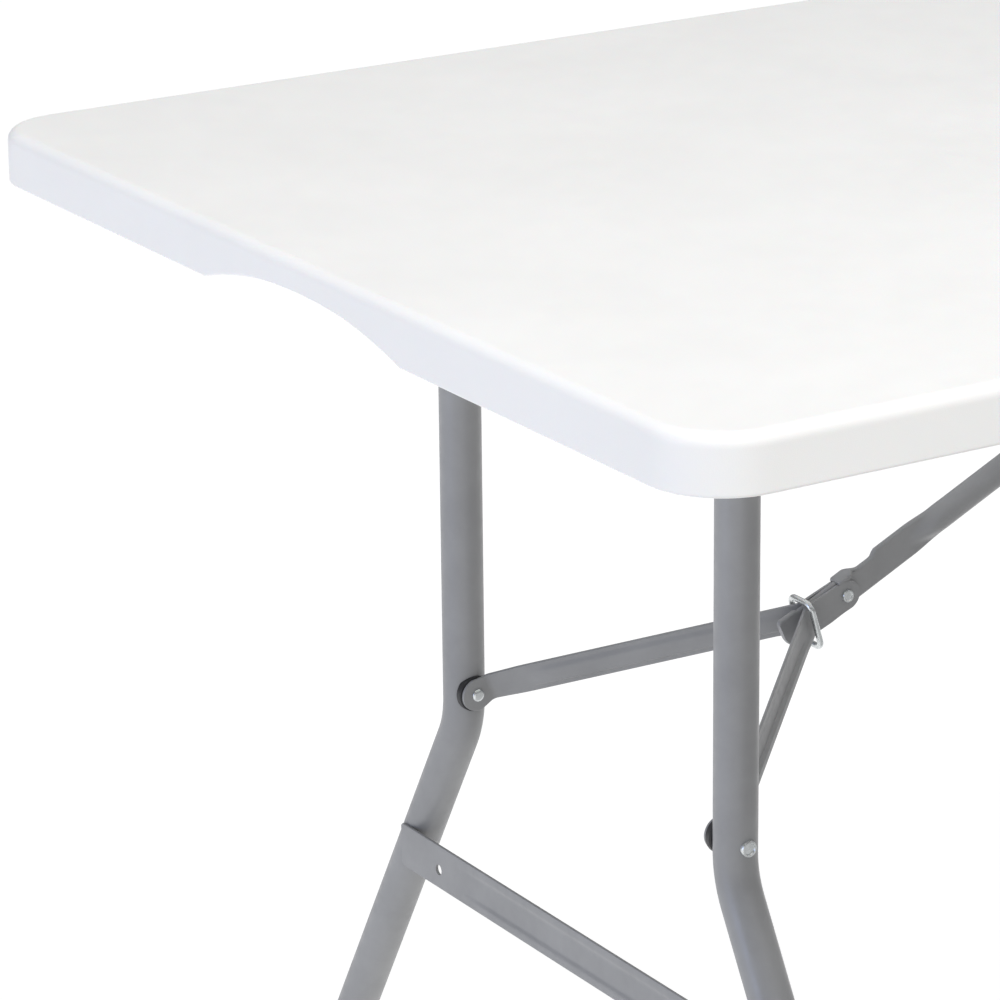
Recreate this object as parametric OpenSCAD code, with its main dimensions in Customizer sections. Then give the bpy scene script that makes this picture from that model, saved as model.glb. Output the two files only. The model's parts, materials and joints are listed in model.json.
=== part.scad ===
// Folding table: a one-piece moulded top on two leg frames that fold flat underneath it

/* [Top] */
// Length of the top
top_l = 1830; // [1830:10:2440]
// Width of the top
top_w = 760; // [740:5:900]
// Height of the top surface above the floor
top_h = 740; // [710:1:742]
// Depth of the skirt round the edge, top surface to bottom edge
skirt_h = 32; // [30:0.5:45]
// Thickness of the hollow deck panel
deck_t = 16; // [15:0.5:17]
// Thickness of the skirt wall
skirt_t = 14; // [10:1:16]
// Thickness of the moulded skins of the deck
skin_t = 2.5; // [2:0.5:3.5]
// Plan radius of the corners
corner_r = 42; // [30:1:60]
// Rounding of the top edge
edge_r = 7; // [3:0.5:9]
// Chord of the arch cut in the skirt at each end
arch_w = 211; // [150:1:240]

/* [Leg frames] */
// Distance from the end of the top to the plane of the leg tubes
leg_u = 187; // [180:1:200]
// Outer diameter of the leg tubes
tube_d = 25; // [24:0.5:26]
// Wall thickness of all the tubes
tube_t = 1.2; // [1:0.1:1.5]
// Half the spacing of the two leg tubes at the top
leg_y = 143; // [135:1:150]
// Height where the leg tubes splay outwards
bend_z = 394; // [380:1:400]
// Height where the leg tubes turn upright again above the feet
foot_bend_z = 110; // [90:1:130]
// Splay of the leg tubes from the vertical, in degrees
splay = 29.8; // [25:0.1:30]
// Centreline radius of the tube bends
bend_r = 60; // [45:1:70]
// Height of the foot caps
cap_h = 28; // [20:1:35]
// Wall and floor thickness of the foot caps
cap_t = 2.5; // [2:0.5:3.5]

/* [Pivots] */
// Distance from the plane of the leg tubes inboard to the pivot tube
pivot_in = 13; // [9:0.5:13]
// Outer diameter of the pivot tube
pivot_d = 19; // [17:0.5:19]
// Diameter of the reduced ends of the pivot tube
pivot_end_d = 13; // [11:0.5:13]
// Radial running clearance of every pin and shaft in its hole
run_gap = 0.05; // [0.02:0.01:0.1]
// Diameter of the rivets and of the bracket pin
rivet_d = 6; // [5:0.5:7]

/* [Crossbar] */
// Height of the top edge of the crossbar
bar_top_z = 312; // [300:1:320]
// Height of the crossbar section
bar_h = 28; // [24:1:32]
// Sheet thickness of the crossbar
bar_t = 1.8; // [1.2:0.1:2.5]
// Half the length of the crossbar
bar_y = 196; // [190:1:198]
// Diameter of the hole near each end of the crossbar
bar_hole_d = 6; // [4:0.5:8]

/* [Braces] */
// Drop from the leg pivot to the brace rivets in the leg tubes
rivet_drop = 299.5; // [295:0.5:302]
// Distance of the knuckle inboard of the brace rivets
knuckle_dx = 175; // [174:0.2:178]
// Height of the knuckle above the brace rivets
knuckle_dz = 67.5; // [65:0.1:68]
// Slope of the upper link, in degrees
link_slope = 25.1; // [25:0.1:26]
// Width of the strip steel arms
arm_w = 18.6; // [17:0.2:18.6]
// Thickness of the strip steel arms
arm_t = 2; // [1.5:0.1:2.2]
// Outer diameter of the upper link's tube
link_d = 16; // [15:0.5:16]
// Thickness of the upper link where it is pressed flat
flat_t = 3.8; // [3:0.1:3.8]
// Height of the upper link where it is pressed flat
flat_h = 21; // [19:0.5:21]
// Wire diameter of the lock ring
wire_d = 3.8; // [3:0.1:3.8]
// Lean of the lock ring from the vertical, in degrees
ring_lean = 16.5; // [14:0.5:20]

/* [Hidden] */
$fn = 96;

// Levels of the top
deck_z = top_h - deck_t;
skirt_z = top_h - skirt_h;
arch_land = 0.4;
arch_rise = skirt_h - deck_t - arch_land;
arch_r = (pow(arch_w / 2, 2) + pow(arch_rise, 2)) / (2 * arch_rise);

// Side rails, which carry the leg pivots: an angle section screwed under the deck
rail_y = 350;
rail_t = 2;
rail_h = 24;
rail_flange = 14;
rail_l = top_l - 250;
rail_screw_n = 7;
rail_screw_span = rail_l - 100;
screw_d = 4;
screw_head_d = 8;
screw_head_t = 2.4;
screw_depth = 10;

// Leg pivot, in distance from the end of the top and height
pivot_u = leg_u + pivot_in;
pivot_drop = 10;
pivot_z = deck_z - pivot_drop;
bush_d = 17;
bush_flange_d = 18.8;
bush_flange_t = 1.5;
shoulder_y = rail_y - bush_flange_t - 0.7;
pivot_end_y = rail_y + rail_t + 2;
pivot_wall = 3;
tube_top_z = pivot_z + 7;

// Leg tube centreline, in width and height
foot_y = leg_y + (bend_z - foot_bend_z) * tan(splay);
bend_tan = bend_r * tan(splay / 2);
bend_lap = 1;
bend_swell = 0.1;
splay_dir = [sin(splay), -cos(splay)];
cap_r = tube_d / 2 + cap_t;
cap_soft = 1.5;

// Brace rivets in the leg tubes
rivet_z = pivot_z - rivet_drop;
rivet_r = rivet_d / 2;
leg_head_r = 5;
leg_head_t = 2.6;
small_head_r = 4;
small_head_t = 2;
spacer_r = 11;
spacer_proud = 1.3;
spacer_y = leg_y - tube_d / 2 - spacer_proud;
spacer_deep = 5;
side_gap = 0.4;
lug_y = spacer_y - side_gap - arm_t / 2;
lug_r = 10;

// Brace linkage in distance from the end and height. The upper link is as long as it must be for
// link and arms to lie in one line once the leg frame is folded
knuckle = [leg_u + knuckle_dx, rivet_z + knuckle_dz];
arm_l = norm([knuckle_dx, knuckle_dz]);
arm_slope = atan(knuckle_dz / knuckle_dx);
folded_rivet = [pivot_u + rivet_drop, pivot_z - pivot_in];
to_folded = folded_rivet - knuckle;
link_way = [cos(link_slope), sin(link_slope)];
link_l = (to_folded * to_folded - arm_l * arm_l) / (2 * (to_folded * link_way - arm_l));
bracket_u = knuckle[0] + link_l * link_way[0];
bracket_z = knuckle[1] + link_l * link_way[1];

// Strip steel arms: plates either side of the knuckle, then a splayed run to each lug
plate_y = flat_t / 2 + side_gap + arm_t / 2;
plate_l = 27.7;
lug_bend = 9.9;
arm_splay = atan((lug_y - plate_y) / (arm_l - lug_bend - plate_l));

// Upper link: a tube whose middle line lies above both pins by the link lift. Its lower end is
// pressed flat and runs on past the knuckle as a tail between the plates, with a lobe at its end
// that holds the lock ring on. A neck beside the knuckle carries the hook, which lies over the
// plates both when they are open and when they are folded
link_lift = 1.8;
neck_end = 26;
neck_drop = 3;
flat_end = 58;
swell_l = 22;
pin_flat = 48;
pin_end_r = 10;
pin_taper = 4;
hook_l = 1.5;
hook_past = 9;
hook_lap = 1;
hook_z = arm_w / 2 + 0.5;
hook_t = 1.2;
tail_l = 46.5;
tail_r = 8;
tail_soft = 1.5;
tail_drop = 1.6;
lobe_in = 34;

// Lock ring, as a rounded rectangle of wire round the plates, in its own leaning plane
ring_s = 28.9;
ring_in_w = 17;
ring_in_top = 10.8;
ring_in_bottom = 14.9;
ring_corner_r = 5;

// Crossbar section
bar_u = leg_u - tube_d / 2 - bar_t;
bead_in = 6;
bead_deep = 1.6;
bead_slope = 2;
bar_flat_l = 56;
bar_hole_y = 152;
bar_hole_z = bar_top_z - 16;

// Bracket that holds the upper link under the deck
bracket_t = 2;
bracket_half = 22;
ear_gap = 0.5;
ear_y = flat_t / 2 + ear_gap;
bracket_screw_at = 15;

steel = [0.53, 0.54, 0.57];
zinc = [0.78, 0.79, 0.80];
plastic_black = [0.09, 0.09, 0.10];
plastic_white = [0.95, 0.95, 0.94];

// Puts a piece drawn at the left end at either end of the table
module at_end(end) {
    if (end == "left") translate([-top_l / 2, 0, 0]) children();
    else mirror([1, 0, 0]) translate([-top_l / 2, 0, 0]) children();
}

module both_sides() {
    children();
    mirror([0, 1, 0]) children();
}

module on_side(side) {
    if (side == "back") children();
    else mirror([0, 1, 0]) children();
}

// Frames at the knuckle: x runs up the arms or up the upper link, z is square to it
module arm_frame() { translate([knuckle[0], 0, knuckle[1]]) rotate([0, -arm_slope, 0]) children(); }
module link_frame() { translate([knuckle[0], 0, knuckle[1]]) rotate([0, -link_slope, 0]) children(); }

// A cylinder along the width, between two distances from the middle
module across(r, y1, y2) { translate([0, y2, 0]) rotate([90, 0, 0]) cylinder(r = r, h = y2 - y1); }

module bar_run(p, q, d) {
    translate([p[0], p[1], 0]) rotate([0, 0, atan2(q[1] - p[1], q[0] - p[0])]) rotate([0, 90, 0])
        cylinder(d = d, h = norm(q - p));
}

module bar_bend(centre, start, d) {
    translate([centre[0], centre[1], 0]) rotate([0, 0, start])
        rotate_extrude(angle = splay) translate([bend_r, 0]) circle(d = d + 2 * bend_swell);
}

// The leg tube's solid outline, or its bore, from its diameter. The runs lap into the bends, which
// are a hair fatter, and past draws out the open ends
module leg_path(d, past) {
    reach = bend_tan - bend_lap;
    bar_run([leg_y, bend_z + reach], [leg_y, tube_top_z + past], d);
    bar_bend([leg_y + bend_r, bend_z + bend_tan], 180, d);
    bar_run([leg_y, bend_z] + reach * splay_dir, [foot_y, foot_bend_z] - reach * splay_dir, d);
    bar_bend([foot_y - bend_r, foot_bend_z - bend_tan], 0, d);
    bar_run([foot_y, cap_t - past], [foot_y, foot_bend_z - reach], d);
}

// A driven screw: a pan head under z = 0 and a shank above it
module screw() {
    translate([0, 0, -screw_head_t]) cylinder(d = screw_head_d, h = screw_head_t);
    cylinder(d = screw_d, h = bracket_t + screw_depth);
}

module screw_hole() { translate([0, 0, -1]) cylinder(d = screw_d, h = bracket_t + 2); }

// ---- Top ----

module rim_section() {
    translate([0, deck_z]) square([corner_r, deck_t - edge_r]);
    translate([0, deck_z]) square([corner_r - edge_r, deck_t]);
    translate([corner_r - skirt_t, skirt_z]) square([skirt_t, skirt_h - edge_r]);
    translate([corner_r - edge_r, top_h - edge_r]) circle(r = edge_r);
}

module deck_cavity() {
    r = corner_r - skirt_t;
    l = top_l / 2 - corner_r;
    w = top_w / 2 - corner_r;
    translate([0, 0, deck_z + skin_t]) linear_extrude(deck_t - 2 * skin_t) {
        square([2 * l, 2 * (w + r)], center = true);
        square([2 * (l + r), 2 * w], center = true);
        for (x = [-l, l]) for (y = [-w, w]) translate([x, y]) circle(r = r);
    }
}

module table_top() {
    run_x = top_l / 2 - corner_r;
    run_y = top_w / 2 - corner_r;
    color(plastic_white) difference() {
        union() {
            translate([-run_x, -run_y, deck_z]) cube([2 * run_x, 2 * run_y, deck_t]);
            for (turn = [0, 1]) mirror([turn, 0, 0]) {
                translate([run_x, 0, 0]) rotate([90, 0, 0])
                    linear_extrude(2 * run_y, center = true) rim_section();
                both_sides() translate([run_x, run_y, 0]) rotate_extrude(angle = 90) rim_section();
            }
            both_sides() translate([-run_x, run_y, 0]) rotate([90, 0, 90])
                linear_extrude(2 * run_x) rim_section();
        }
        deck_cavity();
        for (turn = [0, 1]) mirror([turn, 0, 0])
            translate([top_l / 2 - skirt_t - 6, 0, skirt_z + arch_rise - arch_r])
                rotate([0, 90, 0]) cylinder(r = arch_r, h = skirt_t + 8, $fn = 360);
    }
}

// ---- Side rails and what fastens them ----

function rail_screw_x(i) = (i - (rail_screw_n - 1) / 2) * rail_screw_span / (rail_screw_n - 1);
rail_screw_y = rail_y + rail_t + (rail_flange - rail_t) / 2;

module side_rail(side) {
    color(steel) on_side(side) difference() {
        union() {
            translate([-rail_l / 2, rail_y, deck_z - rail_h]) cube([rail_l, rail_t, rail_h]);
            translate([-rail_l / 2, rail_y, deck_z - rail_t]) cube([rail_l, rail_flange, rail_t]);
        }
        for (x = [-1, 1]) translate([x * (top_l / 2 - pivot_u), 0, pivot_z])
            across(bush_d / 2, rail_y - 1, rail_y + rail_t + 1);
        for (i = [0 : rail_screw_n - 1])
            translate([rail_screw_x(i), rail_screw_y, deck_z - rail_t]) screw_hole();
    }
}

module rail_screws() {
    color(zinc) both_sides() for (i = [0 : rail_screw_n - 1])
        translate([rail_screw_x(i), rail_screw_y, deck_z - rail_t]) screw();
}

module pivot_bushes(end) {
    color(plastic_black) at_end(end) both_sides() translate([pivot_u, 0, pivot_z]) difference() {
        union() {
            across(bush_flange_d / 2, rail_y - bush_flange_t, rail_y);
            across(bush_d / 2, rail_y - bush_flange_t, rail_y + rail_t);
        }
        across(pivot_end_d / 2 + run_gap, rail_y - rail_h, rail_y + rail_h);
    }
}

// ---- Leg frame ----

module pivot_tube(end) {
    r = pivot_d / 2;
    re = pivot_end_d / 2;
    color(steel) at_end(end) translate([pivot_u, 0, pivot_z]) rotate([90, 0, 0])
        rotate_extrude() difference() {
            union() {
                translate([0, -shoulder_y]) square([r, 2 * shoulder_y]);
                translate([0, -pivot_end_y]) square([re, 2 * pivot_end_y]);
            }
            translate([0, -shoulder_y + pivot_wall])
                square([r - tube_t, 2 * (shoulder_y - pivot_wall)]);
            translate([0, -pivot_end_y - 1]) square([re - tube_t, 2 * pivot_end_y + 2]);
        }
}

module leg_tube(end, side) {
    color(steel) at_end(end) on_side(side) difference() {
        translate([leg_u, 0, 0]) rotate([90, 0, 90]) leg_path(tube_d, 0);
        translate([leg_u, 0, 0]) rotate([90, 0, 90]) leg_path(tube_d - 2 * tube_t, 1);
        translate([pivot_u, 0, pivot_z]) across(pivot_d / 2, leg_y - tube_d, leg_y + tube_d);
        translate([leg_u, 0, rivet_z]) across(rivet_r, leg_y - tube_d, leg_y + tube_d);
    }
}

module bar_section() {
    z0 = bar_top_z - bar_h;
    z1 = z0 + bead_in;
    z2 = bar_top_z - bead_in;
    edge = [[0, z0], [0, z1], [bead_deep, z1 + bead_slope], [bead_deep, z2 - bead_slope], [0, z2],
        [0, bar_top_z]];
    polygon([for (p = edge) p, for (i = [5 : -1 : 0]) edge[i] + [bar_t, 0]]);
}

module crossbar(end) {
    color(steel) at_end(end) difference() {
        translate([bar_u, 0, 0]) {
            rotate([90, 0, 0]) linear_extrude(2 * (bar_y - bar_flat_l), center = true) bar_section();
            both_sides() translate([0, bar_y - bar_flat_l, bar_top_z - bar_h])
                cube([bar_t, bar_flat_l, bar_h]);
        }
        both_sides() translate([bar_u - 1, bar_hole_y, bar_hole_z]) rotate([0, 90, 0])
            cylinder(d = bar_hole_d, h = bar_t + 2);
    }
}

module foot_cap(end, side) {
    r = tube_d / 2;
    color(plastic_black) at_end(end) on_side(side) translate([leg_u, foot_y, 0]) rotate_extrude()
        polygon([[0, 0], [cap_r - cap_soft, 0], [cap_r, cap_soft], [cap_r, cap_h], [r, cap_h], [r, cap_t],
            [0, cap_t]]);
}

module leg_post() {
    translate([leg_u, leg_y, rivet_z - tube_d]) cylinder(r = tube_d / 2 + bend_swell, h = 2 * tube_d);
}

module leg_rivets(end) {
    outside = leg_y + tube_d / 2;
    color(zinc) at_end(end) both_sides() {
        translate([leg_u, 0, rivet_z]) across(rivet_r, spacer_y, outside);
        difference() {
            translate([leg_u, 0, rivet_z]) across(leg_head_r, outside - 2, outside + leg_head_t);
            leg_post();
        }
    }
}

module brace_spacers(end) {
    color(plastic_black) at_end(end) both_sides() difference() {
        translate([leg_u, 0, rivet_z]) across(spacer_r, spacer_y, spacer_y + spacer_deep);
        leg_post();
        translate([leg_u, 0, rivet_z]) across(rivet_r, spacer_y - 1, leg_y);
    }
}

// ---- Brace ----

// One face of the arm in plan, at distance d from its middle line
function arm_face(d) = [[arm_w / 2, plate_y + d], [-plate_l + d * tan(arm_splay / 2), plate_y + d],
    [-arm_l + lug_bend + d * tan(arm_splay / 2), lug_y + d], [-arm_l - lug_r, lug_y + d]];

module brace_arm(end, side) {
    inner = arm_face(-arm_t / 2);
    outer = arm_face(arm_t / 2);
    color(steel) at_end(end) on_side(side) arm_frame() difference() {
        intersection() {
            linear_extrude(2 * lug_r, center = true)
                polygon([for (p = inner) p, for (i = [3 : -1 : 0]) outer[i]]);
            rotate([90, 0, 0]) linear_extrude(4 * leg_y, center = true) {
                circle(d = arm_w);
                translate([-arm_l, -arm_w / 2]) square([arm_l, arm_w]);
                translate([-arm_l, 0]) circle(r = lug_r);
            }
        }
        across(rivet_r, 0, plate_y + arm_t);
        translate([-arm_l, 0, 0]) across(rivet_r, lug_y - arm_t, lug_y + arm_t);
    }
}

module lug_rivet_heads(end) {
    face = lug_y - arm_t / 2;
    color(zinc) at_end(end) both_sides() translate([leg_u, 0, rivet_z]) {
        across(rivet_r, face, face + arm_t);
        across(small_head_r, face - small_head_t, face);
    }
}

module knuckle_rivet(end) {
    face = plate_y + arm_t / 2;
    color(zinc) at_end(end) arm_frame() {
        across(rivet_r, -face, face);
        both_sides() across(small_head_r, face, face + small_head_t);
    }
}

// A slab of the link, one pressed flat thickness wide, from an outline in length and height
module pressed() { rotate([90, 0, 0]) linear_extrude(flat_t, center = true) children(); }

// The tube swelling out of a pressed flat that ends at x = from, towards x = to
module swell(from, to) {
    hull() {
        translate([from, 0, link_lift]) cube([0.5, flat_t, flat_h], center = true);
        translate([to, 0, link_lift]) rotate([0, 90, 0])
            cylinder(d = link_d, h = 0.5, center = true, $fn = 64);
    }
}

// Outline of the link's lower end in length and height, from the swell round the tail and back
function lower_end(low, top) = concat(
    [[flat_end, low]],
    [for (a = [270 : -15 : 180]) [tail_r * (1 + cos(a)) - tail_l, low + tail_r * (1 + sin(a))]],
    [[-tail_l, top - tail_soft], [tail_soft - tail_l, top], [-lobe_in, top]],
    [[tail_drop - lobe_in, top - tail_drop], [hook_lap - hook_l, top - tail_drop]],
    [[hook_past - hook_lap, top - tail_drop], [hook_past + neck_drop, top - neck_drop]],
    [[neck_end, top - neck_drop], [neck_end + neck_drop, top], [flat_end, top]]);

module upper_link(end) {
    top = link_lift + flat_h / 2;
    low = link_lift - flat_h / 2;
    color(steel) at_end(end) link_frame() difference() {
        union() {
            pressed() {
                polygon(lower_end(low, top));
                translate([link_l - pin_flat, low]) square([pin_flat - pin_taper, flat_h]);
                translate([link_l, 0]) circle(r = pin_end_r);
                translate([link_l - 2 * pin_taper, -pin_end_r]) square([2 * pin_taper, 2 * pin_end_r]);
            }
            rotate([90, 0, 0]) linear_extrude(2 * plate_y + arm_t, center = true)
                translate([-hook_l, hook_z]) square([hook_l + hook_past, hook_t]);
            swell(flat_end, flat_end + swell_l);
            swell(link_l - pin_flat, link_l - pin_flat - swell_l);
            translate([flat_end + swell_l, 0, link_lift]) rotate([0, 90, 0])
                linear_extrude(link_l - pin_flat - flat_end - 2 * swell_l) difference() {
                    circle(d = link_d);
                    circle(d = link_d - 2 * tube_t);
                }
        }
        across(rivet_r + run_gap, -flat_t, flat_t);
        translate([link_l, 0, 0]) across(rivet_r + run_gap, -flat_t, flat_t);
    }
}

module wire_bend(y, z, start) {
    translate([y, z, 0]) rotate([0, 0, start])
        rotate_extrude(angle = 90) translate([ring_corner_r, 0]) circle(d = wire_d);
}

module wire_run(y, z, turn, length) {
    translate([y, z, 0]) rotate([0, 0, turn]) rotate([0, 90, 0]) cylinder(d = wire_d, h = length);
}

module lock_ring(end) {
    y = ring_in_w / 2 + wire_d / 2 - ring_corner_r;
    top = ring_in_top + wire_d / 2 - ring_corner_r;
    low = -ring_in_bottom - wire_d / 2 + ring_corner_r;
    color(zinc) at_end(end) arm_frame() translate([-ring_s, 0, 0]) rotate([0, arm_slope - ring_lean, 0])
        rotate([90, 0, 90]) {
            wire_bend(y, top, 0);
            wire_bend(-y, top, 90);
            wire_bend(-y, low, 180);
            wire_bend(y, low, 270);
            wire_run(-y, top + ring_corner_r, 0, 2 * y);
            wire_run(-y, low - ring_corner_r, 0, 2 * y);
            wire_run(y + ring_corner_r, low, 90, top - low);
            wire_run(-y - ring_corner_r, low, 90, top - low);
        }
}

module brace_bracket(end) {
    color(steel) at_end(end) translate([bracket_u, 0, 0]) difference() {
        union() {
            translate([-bracket_half, -bracket_half, deck_z - bracket_t])
                cube([2 * bracket_half, 2 * bracket_half, bracket_t]);
            both_sides() translate([0, ear_y + bracket_t, bracket_z]) rotate([90, 0, 0])
                linear_extrude(bracket_t) {
                    circle(r = pin_end_r);
                    translate([-pin_end_r, 0]) square([2 * pin_end_r, deck_z - bracket_t - bracket_z]);
                }
        }
        translate([0, 0, bracket_z]) across(rivet_r, -bracket_half, bracket_half);
        for (x = [-1, 1]) for (y = [-1, 1])
            translate([x * bracket_screw_at, y * bracket_screw_at, deck_z - bracket_t]) screw_hole();
    }
}

module bracket_pin(end) {
    face = ear_y + bracket_t;
    color(zinc) at_end(end) translate([bracket_u, 0, bracket_z]) {
        across(rivet_r, -face, face);
        both_sides() across(small_head_r, face, face + small_head_t);
    }
}

module bracket_screws(end) {
    color(zinc) at_end(end) translate([bracket_u, 0, 0]) for (x = [-1, 1]) for (y = [-1, 1])
        translate([x * bracket_screw_at, y * bracket_screw_at, deck_z - bracket_t]) screw();
}

table_top();
side_rail("front");  // side_rail_front
side_rail("back");  // side_rail_back
rail_screws();
pivot_bushes("left");  // pivot_bushes_left
brace_bracket("left");  // brace_bracket_left
bracket_pin("left");  // bracket_pin_left
bracket_screws("left");  // bracket_screws_left
pivot_tube("left");  // pivot_tube_left
leg_tube("left", "front");  // leg_tube_front_left
leg_tube("left", "back");  // leg_tube_back_left
crossbar("left");  // crossbar_left
foot_cap("left", "front");  // foot_cap_front_left
foot_cap("left", "back");  // foot_cap_back_left
leg_rivets("left");  // leg_rivets_left
brace_spacers("left");  // brace_spacers_left
brace_arm("left", "front");  // brace_arm_front_left
brace_arm("left", "back");  // brace_arm_back_left
lug_rivet_heads("left");  // lug_rivet_heads_left
knuckle_rivet("left");  // knuckle_rivet_left
upper_link("left");  // upper_link_left
lock_ring("left");  // lock_ring_left
pivot_bushes("right");  // pivot_bushes_right
brace_bracket("right");  // brace_bracket_right
bracket_pin("right");  // bracket_pin_right
bracket_screws("right");  // bracket_screws_right
pivot_tube("right");  // pivot_tube_right
leg_tube("right", "front");  // leg_tube_front_right
leg_tube("right", "back");  // leg_tube_back_right
crossbar("right");  // crossbar_right
foot_cap("right", "front");  // foot_cap_front_right
foot_cap("right", "back");  // foot_cap_back_right
leg_rivets("right");  // leg_rivets_right
brace_spacers("right");  // brace_spacers_right
brace_arm("right", "front");  // brace_arm_front_right
brace_arm("right", "back");  // brace_arm_back_right
lug_rivet_heads("right");  // lug_rivet_heads_right
knuckle_rivet("right");  // knuckle_rivet_right
upper_link("right");  // upper_link_right
lock_ring("right");  // lock_ring_right
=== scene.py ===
"""Looks of the folding table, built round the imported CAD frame. Lengths are in metres."""
import json
from math import atan2, cos, hypot, pi, radians, sin, sqrt, tan

import bmesh
import bpy
from mathutils import Matrix, Vector

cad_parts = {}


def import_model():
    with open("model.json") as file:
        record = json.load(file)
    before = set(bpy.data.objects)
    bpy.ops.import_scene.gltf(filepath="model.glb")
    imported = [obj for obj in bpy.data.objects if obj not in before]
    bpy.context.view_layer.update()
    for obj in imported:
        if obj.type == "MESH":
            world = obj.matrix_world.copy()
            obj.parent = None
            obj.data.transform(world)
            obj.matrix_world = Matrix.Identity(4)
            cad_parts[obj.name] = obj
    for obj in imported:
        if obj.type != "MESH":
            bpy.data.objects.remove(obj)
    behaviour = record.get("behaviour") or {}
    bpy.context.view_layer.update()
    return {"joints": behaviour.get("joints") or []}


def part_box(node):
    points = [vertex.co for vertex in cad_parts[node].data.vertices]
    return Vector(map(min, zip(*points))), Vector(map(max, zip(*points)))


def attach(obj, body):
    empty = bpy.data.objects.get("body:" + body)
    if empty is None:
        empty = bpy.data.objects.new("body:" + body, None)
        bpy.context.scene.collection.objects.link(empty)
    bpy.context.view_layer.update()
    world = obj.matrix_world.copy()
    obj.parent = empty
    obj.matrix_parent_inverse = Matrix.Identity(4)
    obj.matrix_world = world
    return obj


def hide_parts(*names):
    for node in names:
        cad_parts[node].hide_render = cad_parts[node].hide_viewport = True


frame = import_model()

MM = 0.001
JOINTS = {j["name"]: j for j in frame["joints"]}

# ---------------------------------------------------------------- sizes read from the frame

top_low, top_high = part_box("table_top")
HALF_L, HALF_W = top_high.x, top_high.y
TOP_Z, SKIRT_Z = top_high.z, top_low.z
DECK_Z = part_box("side_rail_back")[1].z

tube_low, tube_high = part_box("leg_tube_back_left")
cap_low, cap_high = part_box("foot_cap_back_left")
TUBE_R = (tube_high.x - tube_low.x) / 2
LEG_X = (tube_high.x + tube_low.x) / 2
LEG_Y = tube_low.y + TUBE_R
FOOT_Y = (cap_low.y + cap_high.y) / 2
TUBE_TOP = tube_high.z

PIVOT = Vector(JOINTS["leg_fold_left"]["pos_m"])
KNUCKLE = Vector(JOINTS["knuckle_fold_left"]["pos_m"])
LINK_PIN = Vector(JOINTS["brace_fold_left"]["pos_m"])
lug_low, lug_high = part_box("lug_rivet_heads_left")
RIVET = Vector(((lug_low.x + lug_high.x) / 2, 0, (lug_low.z + lug_high.z) / 2))

# ---------------------------------------------------------------- sizes of the detail

CORNER_R = 42 * MM          # plan radius of the top's corners
EDGE_R = 7 * MM             # rounding of the top edge
SKIRT_T = 14 * MM
LIP_R = 1.6 * MM            # rounding of the skirt's bottom edge
ARCH_HALF = 105.5 * MM      # half the chord of the arch in each end
ARCH_RISE = 15.6 * MM

BEND_Z = 394 * MM
FOOT_BEND_Z = 110 * MM
SPLAY = atan2(FOOT_Y - LEG_Y, BEND_Z - FOOT_BEND_Z)
BEND_R = 60 * MM

ARM_W = 18.6 * MM
ARM_T = 2 * MM
LUG_R = 10 * MM
PLATE_Y = 3.3 * MM
LUG_Y = 127.8 * MM
PLATE_L = 27.7 * MM
LUG_L = 9.9 * MM
RIVET_R = 3 * MM
HEAD_R = 4 * MM

ALONG_Y = Matrix.Rotation(-pi / 2, 4, "X")      # turns a z axis on to +y


# ---------------------------------------------------------------- mesh tools

def loft(bm, loops, closed=False, caps=True):
    """Joins loops of equal length with quads, and closes the two ends with flat faces."""
    rings = [[bm.verts.new(p) for p in loop] for loop in loops]
    n = len(rings[0])
    spans = len(rings) if closed else len(rings) - 1
    for i in range(spans):
        a, b = rings[i], rings[(i + 1) % len(rings)]
        for k in range(n):
            bm.faces.new((a[k], a[(k + 1) % n], b[(k + 1) % n], b[k]))
    if caps and not closed:
        bm.faces.new(list(reversed(rings[0])))
        bm.faces.new(rings[-1])
    return rings


def circle(radius, n):
    return [(radius * cos(2 * pi * k / n), radius * sin(2 * pi * k / n)) for k in range(n)]


def revolve(bm, profile, place, n=48):
    """Turns a profile of (radius, height) points about the z axis of the matrix place."""
    loops = [[place @ Vector((x, y, h)) for x, y in circle(max(r, 1e-5), n)] for r, h in profile]
    loft(bm, loops)


def arc(cx, cy, r, start, end, n):
    """Points on an arc, angles in degrees, both ends included."""
    turns = [radians(start + (end - start) * k / n) for k in range(n + 1)]
    return [(cx + r * cos(t), cy + r * sin(t)) for t in turns]


def sweep(bm, path, radius, n=32, closed=False, shape=None):
    """A round bar along a path. shape(i, angle) scales the radius at a station."""
    count = len(path)
    side = None
    loops = []
    for i, p in enumerate(path):
        before = path[i - 1] if closed or i else p
        after = path[(i + 1) % count] if closed or i < count - 1 else p
        along = (after - before).normalized()
        if side is None:
            side = along.orthogonal().normalized()
        side = (side - along * side.dot(along)).normalized()
        up = along.cross(side)
        loop = []
        for k in range(n):
            a = 2 * pi * k / n
            r = radius * (shape(i, side * cos(a) + up * sin(a)) if shape else 1)
            loop.append(p + side * (r * cos(a)) + up * (r * sin(a)))
        loops.append(loop)
    loft(bm, loops, closed=closed)


def slab(bm, outline, t, place, soft=0.3 * MM):
    """A flat plate of thickness t from an outline in x and y, centred on z, with eased edges."""
    n = len(outline)
    inner = []
    for i in range(n):
        a, b, c = (Vector(outline[(i + k) % n]) for k in (-1, 0, 1))
        e, f = (b - a).normalized(), (c - b).normalized()
        m = Vector((-(e.y + f.y), e.x + f.x))
        m = m.normalized() / max(0.4, (1 + e.dot(f)) / 2) ** 0.5
        inner.append(b + m * soft)
    full = [Vector(p) for p in outline]
    levels = [(inner, -t / 2), (full, -t / 2 + soft), (full, t / 2 - soft), (inner, t / 2)]
    loft(bm, [[place @ Vector((p.x, p.y, z)) for p in loop] for loop, z in levels])


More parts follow.
